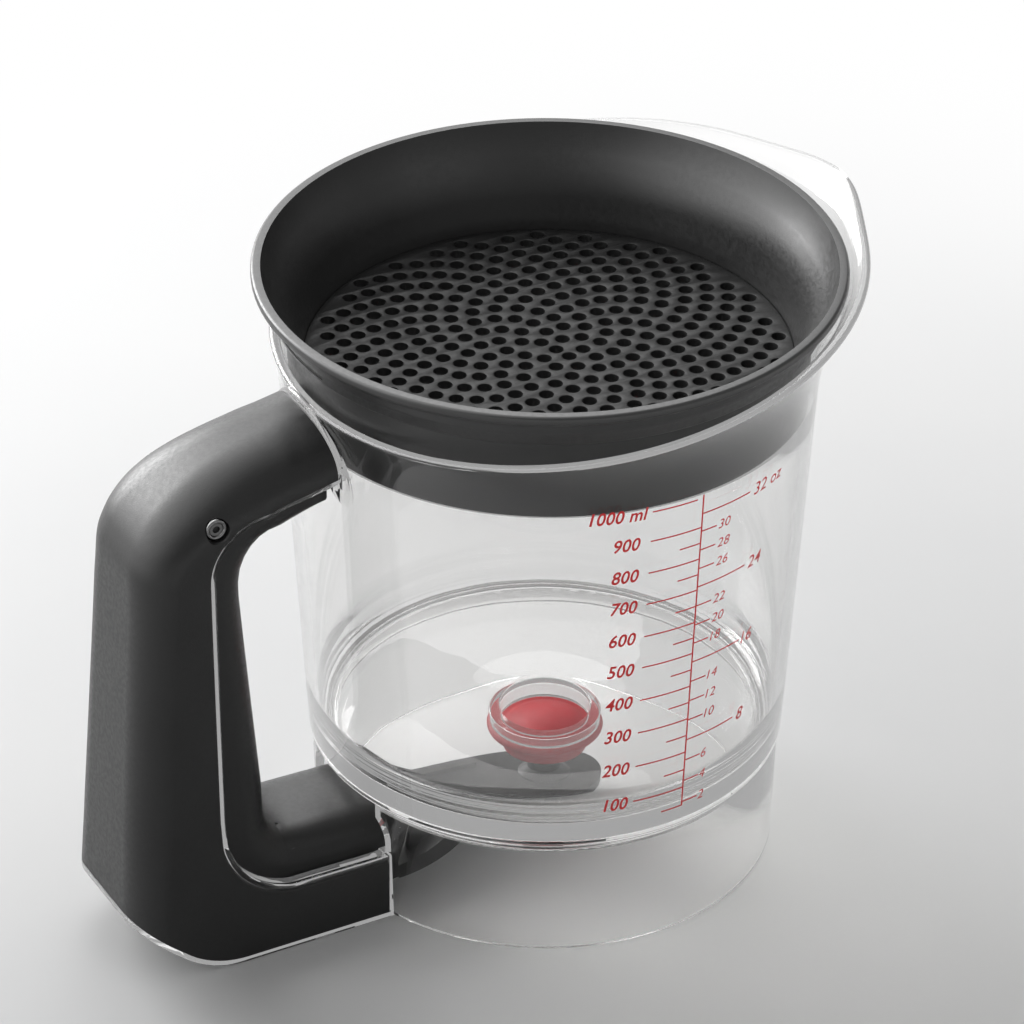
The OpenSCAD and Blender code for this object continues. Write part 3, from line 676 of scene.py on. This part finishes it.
def sole_outline(inset):
    """The handle's foot seen from above, this far inside the cover's face."""
    rear, r, side = REAR_X + 0.9 - FOOT_R + inset, 10 - inset, LEG_HALF_W - 0.1 - inset
    return ([(-40, -side), (-40, side)]
            + arc((rear + r, side - r), r, r, 90, 180, 15)
            + arc((rear + r, r - side), r, r, 180, 270, 15))


def under_heel(name, inside):
    """Everything below a surface that lies this far inside the handle's turned-up underside."""
    far, below, half, r, turn = 60, -9, 40, HEEL_R - inside, 270 - HEEL_ANGLE
    bend = arc((HEEL_X, HEEL_R), r, r, 270, turn, 16)
    top_x = bend[-1][0] - far * math.cos(rad(HEEL_ANGLE))
    top_z = bend[-1][1] + far * math.sin(rad(HEEL_ANGLE))
    outline = [(far, below), (far, inside)] + bend + [(top_x, top_z), (top_x, below)]
    return prism_y(name, at_handle(outline), -half, half)


# ---------------------------------------------------------------- the black cover

def make_cover():
    """The shell round the handle's back, with a slot for the clear sole and a hole for either eyelet."""
    edge = rounded([(0, 4), (0, 0), (COVER_WALL, 0), (COVER_WALL, 4)], [0, 0.5, 0.5, 0])[1:-1]
    ob = make_channel("black_cover", 0, COVER_WALL, edge, wall_r(LEDGE_Z) + 2.6, FOOT_R - 0.5, 18, 190)
    face_y = float(width_at(7.4))
    hole = [(2.9, 10), (2.9, face_y - 0.3), (3.2, face_y + 0.1), (3.2, face_y + 3)]
    for side in (-1, 1):
        carve(ob, spun("hole", [(r, side * y) for r, y in hole], PIN))
    carve(ob, prism("slot", sole_outline(COVER_WALL), -1, 5.6))
    carve(ob, under_heel("heel", FOOT_Z))
    shade(ob, 30)
    return ob


# ---------------------------------------------------------------- the clear stand

def collar():
    """The plate with a round top that holds the frame to the cup."""
    r, turn = 18.1, 2.6
    top, low = LEDGE_Z + 12.9 - r, LEDGE_Z - 2.2 + turn
    outline = arc((0, top), r, r, -8, 188, 40)
    outline += arc((turn - r, low), turn, turn, 180, 270, 6)
    outline += arc((r - turn, low), turn, turn, 270, 360, 6)
    return pad("collar", outline, wall_r(LEDGE_Z) + 2.4, 4.5, 0.7)


def skirt():
    outline = [(SKIRT_FOOT_R - SKIRT_WALL, 0), (SKIRT_FOOT_R, 0),
               (SKIRT_TOP_R, STAND_H), (SKIRT_TOP_R - SKIRT_WALL, STAND_H)]
    return turned("skirt", rounded(outline, [0.5, 0.5, 0.4, 0.4]))


def flange():
    """The flat pad on the skirt behind the handle's foot."""
    w, top = LEG_HALF_W, 18.2
    outline = rounded([(-w, 0), (w, 0), (w, top), (-w, top)], [0, 0, 0.6, 0.6])
    return pad("flange", outline, SKIRT_TOP_R + 0.1, 2, 0.4)


def doorway(sill):
    """The opening through the skirt for the trigger's foot: a step inside the frame, and a rounded top."""
    floor_z, step_w, half, top, r = 1.8, LEG_HALF_W - FRAME_IN, 18.4, STAND_H - 2.3, 8
    outline = [(-step_w, floor_z), (step_w, floor_z), (step_w, sill), (half, sill)]
    outline += arc((half - r, top - r), r, r, 0, 90, 12) + arc((r - half, top - r), r, r, 90, 180, 12)
    return prism_x("doorway", outline + [(-half, sill), (-step_w, sill)], -61, 0)


def make_stand():
    """The skirt, and in one piece with it the sole, the frame inside the handle and the collar."""
    lip, floor_t, sole_top = 1.6, 1.8, 5.6
    # the frame's ends lie within the collar and within the skirt's wall
    collar_r, skirt_r = 62.2, 55.0
    # the frame's edge turns out under the edge of the cover
    edge = rounded([(FRAME_INSET, 4), (FRAME_INSET, -0.12), (0.45, -0.12), (0.45, -lip), (FRAME_IN, -lip),
                    (FRAME_IN, 4)], [0, 0, 0.35, 0.6, 0.6, 0], 3)[1:-1]
    ob = make_channel("clear_stand", FRAME_INSET, FRAME_WALL, edge, collar_r, skirt_r, 10, 130)
    carve(ob, collar(), "UNION")
    carve(ob, skirt(), "UNION")
    carve(ob, flange(), "UNION")
    sole = prism("sole", sole_outline(0), -1, 30)
    carve(sole, under_heel("heel", 1.2), "INTERSECT")
    carve(ob, sole, "UNION")
    carve(ob, prism("foot", sole_outline(FRAME_INSET), -1, sole_top), "UNION")
    carve(ob, under_heel("below", 0))
    # the room for the cup, and the inside of the skirt
    low_r, high_r = SKIRT_FOOT_R - SKIRT_WALL - 0.05, SKIRT_TOP_R - SKIRT_WALL
    carve(ob, cone("cup_space", FOOT_R + 0.5, STAND_H, wall_r(RIM_Z) + 0.5, RIM_Z))
    carve(ob, cone("inside", low_r, -0.5, high_r, STAND_H + 0.5))
    carve(ob, doorway(16.1 + lip))
    well = prism("well", sole_outline(FRAME_IN + 0.5), floor_t, 32)
    carve(well, under_heel("floor", floor_t))
    carve(ob, well)
    carve(ob, spun("window", [(4.7, -13.8), (4.7, 13.8)], PIN))
    carve(ob, spun("bore", [(PIN_BORE_R, -18.5), (PIN_BORE_R, 18.5)], PIN))
    shade(ob, 30)
    return ob


# ---------------------------------------------------------------- the trigger and its eyelets

def outside_corner(y, z, r, low, high):
    """A bar along X that fills the corner outside a rounding of this radius about (y, z)."""
    side = 1 if y > 0 else -1
    reach = r + 3
    curve = [(y + side * r * math.cos(rad(a)), z + r * math.sin(rad(a))) for a in range(0, 91, 6)]
    corner = [(y, z + reach), (y + side * reach, z + reach), (y + side * reach, z)]
    return prism_x("corner", curve + corner, low, high)


def make_trigger():
    """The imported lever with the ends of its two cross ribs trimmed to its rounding."""
    ob = new_object("black_trigger", nodes["trigger"].data.copy())
    bm = bmesh.new()
    bm.from_mesh(ob.data)
    bmesh.ops.remove_doubles(bm, verts=bm.verts, dist=0.002 * MM)
    bm.to_mesh(ob.data)
    bm.free()
    for side in (-1, 1):
        for rib_x, z, r in ((-58, 18.05, 8.03), (-76, 18.85, 8.1)):
            carve(ob, outside_corner(side * 7.5, z, r, rib_x - 1.2, rib_x + 1.2))
    shade(ob, 32)
    return ob


def make_eyelets():
    """Two rolled eyelets round the pivot pin, each a ring with a rounded rim that faces outwards."""
    outer, root, face, count = 2.7, 15.7, 16.35, 64
    roll = (outer - PIN_BORE_R) / 2
    profile = [(PIN_BORE_R, root), (PIN_BORE_R, face - 0.2)]
    profile += arc((PIN_BORE_R + roll, face), roll, 0.45, 180, 0, 10)
    profile += [(outer, face - 0.2), (outer, root)]
    verts, faces = [], []
    for side in (-1, 1):
        loops = [[(x, side * y, z) for x, z in circle(r, count, PIN)] for r, y in profile]
        points, quads = tube_grid(loops)
        faces += [tuple(len(verts) + v for v in quad) for quad in quads]
        verts += points
    return mesh_object("eyelets", verts, faces, sharp=40)


# ---------------------------------------------------------------- the strainer's screen

# from the cup's wall inwards: the play, the strainer's wall at the screen's seat, and the screen's play
STRAINER_GAP, SEAT_WALL, SCREEN_GAP, SEAT_W = 0.45, 3.75, 0.1, 0.9
SCREEN_Z = LEDGE_Z + 6.7
SCREEN_R = wall_r(SCREEN_Z) - UPPER_WALL - STRAINER_GAP - SEAT_WALL - SCREEN_GAP
HOLE_R, HOLE_SPREAD, GOLDEN_ANGLE = 1.7, 2.775, 137.508


def filled(outlines):
    """Points and triangles of a flat face between an outer outline and the holes in it."""
    cu = bpy.data.curves.new("plate", "CURVE")
    cu.dimensions, cu.fill_mode = "2D", "BOTH"
    for outline in outlines:
        spline = cu.splines.new("POLY")
        spline.points.add(len(outline) - 1)
        for point, (x, y) in zip(spline.points, outline):
            point.co = (x, y, 0, 1)
        spline.use_cyclic_u = True
    ob = new_object("plate", cu)
    me = final_mesh(ob)
    points = [tuple(v.co[:2]) for v in me.vertices]
    triangles = [tuple(p.vertices) for p in me.polygons]
    bpy.data.objects.remove(ob)
    bpy.data.curves.remove(cu)
    bpy.data.meshes.remove(me)
    return points, triangles


def nearest(table, x, y):
    """The entry of a table of rounded places that is this place, give or take the rounding."""
    steps = (0, 0.01, -0.01)
    found = [table.get((round(x + dx, 2), round(y + dy, 2))) for dx in steps for dy in steps]
    return next(v for v in found if v is not None)


def make_screen():
    """A plate with drafted holes on a golden-angle spiral, thinner where its edge lies on the seat."""
    edge, step, seat_t, thick = 0.25, SEAT_W + 0.2, 1.4, 2.0
    count = int(((SCREEN_R - SEAT_W - HOLE_R - 0.1) / HOLE_SPREAD) ** 2)
    spots = [(HOLE_SPREAD * math.sqrt(i + 0.5), rad(-GOLDEN_ANGLE * i)) for i in range(count)]
    spots = [(d * math.cos(a), d * math.sin(a)) for d, a in spots]
    # (height from the top, growth of the radius) down a hole and down the plate's rim
    down_hole = [(0, edge), (-0.3 * edge, 0.3 * edge), (-edge, 0), (-seat_t, -0.25), (-thick, -0.4)]
    down_rim = [(0, -edge), (-0.3 * edge, -0.3 * edge), (-edge, 0)]
    down_rim += [(-seat_t, 0), (-seat_t, -step), (-thick, -step)]
    walls = [(spot, HOLE_R, 28, down_hole) for spot in spots] + [((0, 0), SCREEN_R, 168, down_rim)]
    verts, faces, outlines = [], [], []
    at_top, below = {}, {}
    for centre, radius, sides, levels in walls:
        first = len(verts)
        rings = [[(x, y, SCREEN_Z + z) for x, y in circle(radius + grow, sides, centre)]
                 for z, grow in levels]
        verts += [p for ring in rings for p in ring]
        for i in range(len(rings) - 1):
            a, b = first + i * sides, first + (i + 1) * sides
            faces += [(a + k, a + (k + 1) % sides, b + (k + 1) % sides, b + k) for k in range(sides)]
        for k in range(sides):
            below[first + k] = first + (len(rings) - 1) * sides + k
            at_top[(round(rings[0][k][0], 2), round(rings[0][k][1], 2))] = first + k
        outlines.append([p[:2] for p in rings[0]])
    # the underside repeats the top's triangles on the lowest rings
    points, triangles = filled(outlines)
    index = [nearest(at_top, x, y) for x, y in points]
    for triangle in triangles:
        a, b, c = (index[v] for v in triangle)
        faces.append((a, b, c))
        faces.append((below[c], below[b], below[a]))
    return mesh_object("black_screen", verts, faces, sharp=40)


# ---------------------------------------------------------------- the printed scale

# the height of the cup's content, every 100 ml
MARK_ZS = [31.5, 42.3, 52.65, 62.5, 72.0, 81.5, 90.4, 99.6, 108.4, 117.3, 125.5]
OZ_IN_ML = 29.57
INK_LIFT, HALF_LINE = 0.07, 0.19
# round the wall, in degrees: the long line, and where its numbers begin or end
LINE_AZ, ML_AZ, ML_TOP_AZ = -84.9, -99.2, -97.8
OZ_AZ, OZ_EIGHT_AZ, OZ_LONG_AZ = -80.3, -69.3, -70.3

ink_points, ink_faces = [], []


def mark_z(ml):
    return float(np.interp(ml / 100, range(len(MARK_ZS)), MARK_ZS))


def on_wall(azimuth, u, z):
    """The place u millimetres round the cup's outer wall from an azimuth, at height z."""
    r = wall_r(z)
    a = rad(azimuth) + u / r
    return (r + INK_LIFT) * math.cos(a), (r + INK_LIFT) * math.sin(a), z


def upright(u, low, high):
    """The long line, from height to height."""
    steps = max(1, int((high - low) / 4.0))
    rows = [lerp(low, high, k / steps) for k in range(steps + 1)]
    add_strip([(on_wall(LINE_AZ, -u, z), on_wall(LINE_AZ, u, z)) for z in rows])


def tick(start, end, z):
    """A level line beside it, from place to place."""
    steps = max(1, int(abs(end - start)))
    places = [lerp(start, end, k / steps) for k in range(steps + 1)]
    add_strip([(on_wall(LINE_AZ, u, z - HALF_LINE), on_wall(LINE_AZ, u, z + HALF_LINE)) for u in places])


def add_strip(pairs):
    first = len(ink_points)
    ink_points.extend(p for pair in pairs for p in pair)
    for k in range(len(pairs) - 1):
        a = first + 2 * k
        ink_faces.append((a, a + 2, a + 3, a + 1))


def label(text, height, azimuth, z, ends_there, bold, narrow=1.0):
    """Slanted numerals centred on height z, which begin or end at the azimuth."""
    cu = bpy.data.curves.new("numeral", "FONT")
    cu.body, cu.size, cu.shear, cu.offset = text, 1.0, 0.22, bold
    cu.align_x = "LEFT"
    cu.resolution_u = 4
    cu.space_character = 1.04
    ob = new_object("numeral", cu)
    me = final_mesh(ob)
    digit_h = 0.69
    co = np.array([v.co[:2] for v in me.vertices]) * (height / digit_h)
    co[:, 0] -= co[:, 0].max() if ends_there else co[:, 0].min()
    co[:, 0] *= narrow
    co[:, 1] -= height / 2
    first = len(ink_points)
    ink_points.extend(on_wall(azimuth, x, z + y) for x, y in co)
    ink_faces.extend(tuple(first + v for v in p.vertices) for p in me.polygons)
    bpy.data.objects.remove(ob)
    bpy.data.curves.remove(cu)
    bpy.data.meshes.remove(me)


def make_scale():
    upright(HALF_LINE + 0.02, mark_z(50) - HALF_LINE, mark_z(1000) + 0.9)
    for ml in range(50, 1001, 50):
        z, is_top = mark_z(ml), ml == 1000
        if ml % 100 == 0:
            tick(-1.6 if is_top else 0, -13.2, z)
            azimuth = ML_TOP_AZ if is_top else ML_AZ
            label("1000 ml" if is_top else str(ml), 3.35, azimuth, z, True, 0.018, 0.86)
        elif ml < 900:
            tick(0, -5.6, z)
    for oz in range(2, 33, 2):
        z, is_top = mark_z(oz * OZ_IN_ML), oz == 32
        if oz % 8 == 0:
            tick(0, 14.6, z)
            azimuth = OZ_EIGHT_AZ if oz < 10 else OZ_LONG_AZ
            label("32 oz" if is_top else str(oz), 3.2, azimuth, z, False, 0.004)
        else:
            tick(0, 4.4, z)
            label(str(oz), 2.45, OZ_AZ, z, False, 0.0)
    return mesh_object("printed_scale", ink_points, ink_faces)


# ---------------------------------------------------------------- the pieces and what carries them

cup = make_cup()
paint(cup, mat_clear)
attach(cup, "cup_body")
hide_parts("cup")

cover = make_cover()
paint(cover, mat_black)
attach(cover, "cup_body")
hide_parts("grip_cover")

stand = make_stand()
paint(stand, mat_clear)
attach(stand, "cup_body")
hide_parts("stand")

trigger = make_trigger()
paint(trigger, mat_black)
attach(trigger, "trigger_body")
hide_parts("trigger")

eyelets = make_eyelets()
paint(eyelets, mat_dark_steel)
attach(eyelets, "cup_body")
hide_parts("pivot_bushes")

screen = make_screen()
paint(screen, mat_screen)
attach(screen, "strainer_body")
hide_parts("strainer_screen")

scale = make_scale()
paint(scale, mat_ink)
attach(scale, "cup_body")


# ---------------------------------------------------------------- the room and the camera

# the room's x runs to the camera's right and its y away from the camera
ROOM_TURN = rad(29)
WHITE = (1, 1, 1)


def to_object(v):
    x, y, z = v
    c, s = math.cos(ROOM_TURN), math.sin(ROOM_TURN)
    return Vector((x * c + y * s, -x * s + y * c, z))


def make_camera():
    """A long lens that looks down at the object from the side of its handle."""
    yaw, pitch, roll = -0.0072, rad(32.57), 0.0078
    ahead = np.array([math.sin(yaw) * math.cos(pitch), math.cos(yaw) * math.cos(pitch), -math.sin(pitch)])
    level = np.array([math.cos(yaw), -math.sin(yaw), 0.0])
    up = np.cross(level, ahead)
    rolled_x = math.cos(roll) * level + math.sin(roll) * up
    rolled_y = -math.sin(roll) * level + math.cos(roll) * up
    data = bpy.data.cameras.new("camera")
    data.sensor_width = 36
    # the focal length in pixels of a frame that is 1024 pixels wide
    data.lens = 5795 * data.sensor_width / 1024
    data.clip_start, data.clip_end = 0.05, 50
    ob = new_object("camera", data)
    turn = Matrix([to_object(v) for v in (rolled_x, rolled_y, -ahead)]).transposed()
    ob.matrix_world = Matrix.Translation(to_object((0, -1.1618, 0.8298))) @ turn.to_4x4()
    bpy.context.scene.camera = ob


make_camera()


# ---------------------------------------------------------------- floor

def floor_material():
    """Pale and a little mottled, with painted shade that greys it on the side away from the window, and white
    far from the object.
    """
    m, t, b, out = new_material("pale_floor")
    b.inputs["Roughness"].default_value = 0.6
    b.inputs["Specular IOR Level"].default_value = 0.25
    place = t.nodes.new("ShaderNodeTexCoord").outputs["Object"]
    away = dot(t, place, to_object((-0.35, 0.93, 0)))
    mottle_and_painted_shade = t.nodes.new("ShaderNodeMix")
    mottle_and_painted_shade.data_type, mottle_and_painted_shade.blend_type = "RGBA", "MULTIPLY"
    factor, first, second = mottle_and_painted_shade.inputs[0], mottle_and_painted_shade.inputs[6], mottle_and_painted_shade.inputs[7]
    factor.default_value = 1.0
    t.links.new(ramp(t, noise(t, 6, 4), 0.3, (0.94, 0.945, 0.95), 0.7, WHITE), first)
    # painted shade: the mottled colour is darkened on the side away from the window
    t.links.new(map_range(t, away, -0.20, 0.10, 0.52, 0.72, "SMOOTHSTEP"), second)
    t.links.new(mottle_and_painted_shade.outputs[2], b.inputs["Base Color"])
    # it goes over into a backdrop that glows, and is white on every side beyond the photograph's view
    length = t.nodes.new("ShaderNodeVectorMath")
    length.operation = "LENGTH"
    t.links.new(place, length.inputs[0])
    reach = length.outputs["Value"]
    glow = light_node(t, "ShaderNodeEmission", WHITE)
    # painted light: nearer the object the backdrop's glow is brighter behind it than in front of it
    behind = map_range(t, away, -0.40, 0.26, 0.36, 1.0, "SMOOTHSTEP")
    t.links.new(math_node(t, "MAXIMUM", behind, map_range(t, reach, 0.16, 0.45)), glow.inputs["Strength"])
    far = map_range(t, reach, 0.10, 0.42, kind="SMOOTHSTEP")
    t.links.new(mix_shader(t, far, b.outputs["BSDF"], glow.outputs["Emission"]), out.inputs["Surface"])
    return m


def make_floor():
    me = bpy.data.meshes.new("floor")
    s, z = 6.0, -0.2 * MM
    me.from_pydata([(-s, -s, z), (s, -s, z), (s, s, z), (-s, s, z)], [], [(0, 1, 2, 3)])
    ob = new_object("floor", me)
    ob.data.materials.append(floor_material())
    return ob


floor = make_floor()


# ---------------------------------------------------------------- light

def sky(t, low, high, axis, start, end):
    """A background that goes from low to high where its direction nears the axis."""
    direction = t.nodes.new("ShaderNodeTexCoord").outputs["Generated"]
    node = light_node(t, "ShaderNodeBackground", WHITE)
    level = map_range(t, dot(t, direction, to_object(axis)), start, end, low, high)
    t.links.new(level, node.inputs["Strength"])
    return node.outputs["Background"]


def make_world():
    """A pale studio: even for diffuse light, white where it is seen directly, brighter towards the window in
    reflections, and graded from dim to pale towards the back through the clear plastic.
    """
    window, behind = (-0.80, 0.35, 0.50), (-0.3, 0.9, 0.3)
    world = bpy.data.worlds.new("studio")
    bpy.context.scene.world = world
    world.use_nodes = True
    t = world.node_tree
    even = t.nodes["Background"]
    even.inputs["Color"].default_value = WHITE + (1,)
    even.inputs["Strength"].default_value = 0.42
    white = light_node(t, "ShaderNodeBackground", WHITE)
    mirrored, refracted = sky(t, 0.34, 3.8, window, 0.2, 1.0), sky(t, 0.12, 0.98, behind, -0.6, 0.6)
    path = t.nodes.new("ShaderNodeLightPath").outputs
    shown = mix_shader(t, path["Is Glossy Ray"], even.outputs["Background"], mirrored)
    shown = mix_shader(t, path["Is Transmission Ray"], shown, refracted)
    shown = mix_shader(t, path["Is Camera Ray"], shown, white.outputs["Background"])
    t.links.new(shown, t.nodes["World Output"].inputs["Surface"])


def area_light(name, where, target, size, power):
    data = bpy.data.lights.new(name, "AREA")
    data.energy = power
    data.shape, data.size = "DISK", size
    ob = new_object(name, data)
    ob.location = to_object(where)
    ob.rotation_mode = "QUATERNION"
    ob.rotation_quaternion = (to_object(target) - ob.location).to_track_quat("-Z", "Y")


make_world()
area_light("window", (-0.80, 0.70, 0.50), (0, 0, 0.08), 0.75, 14.0)
area_light("top", (-0.15, 0.75, 1.05), (0, 0, 0.08), 0.8, 3.8)
area_light("fill", (0.9, -0.7, 0.9), (0, 0, 0.06), 0.9, 0.6)

bpy.context.scene.view_settings.view_transform = "Standard"
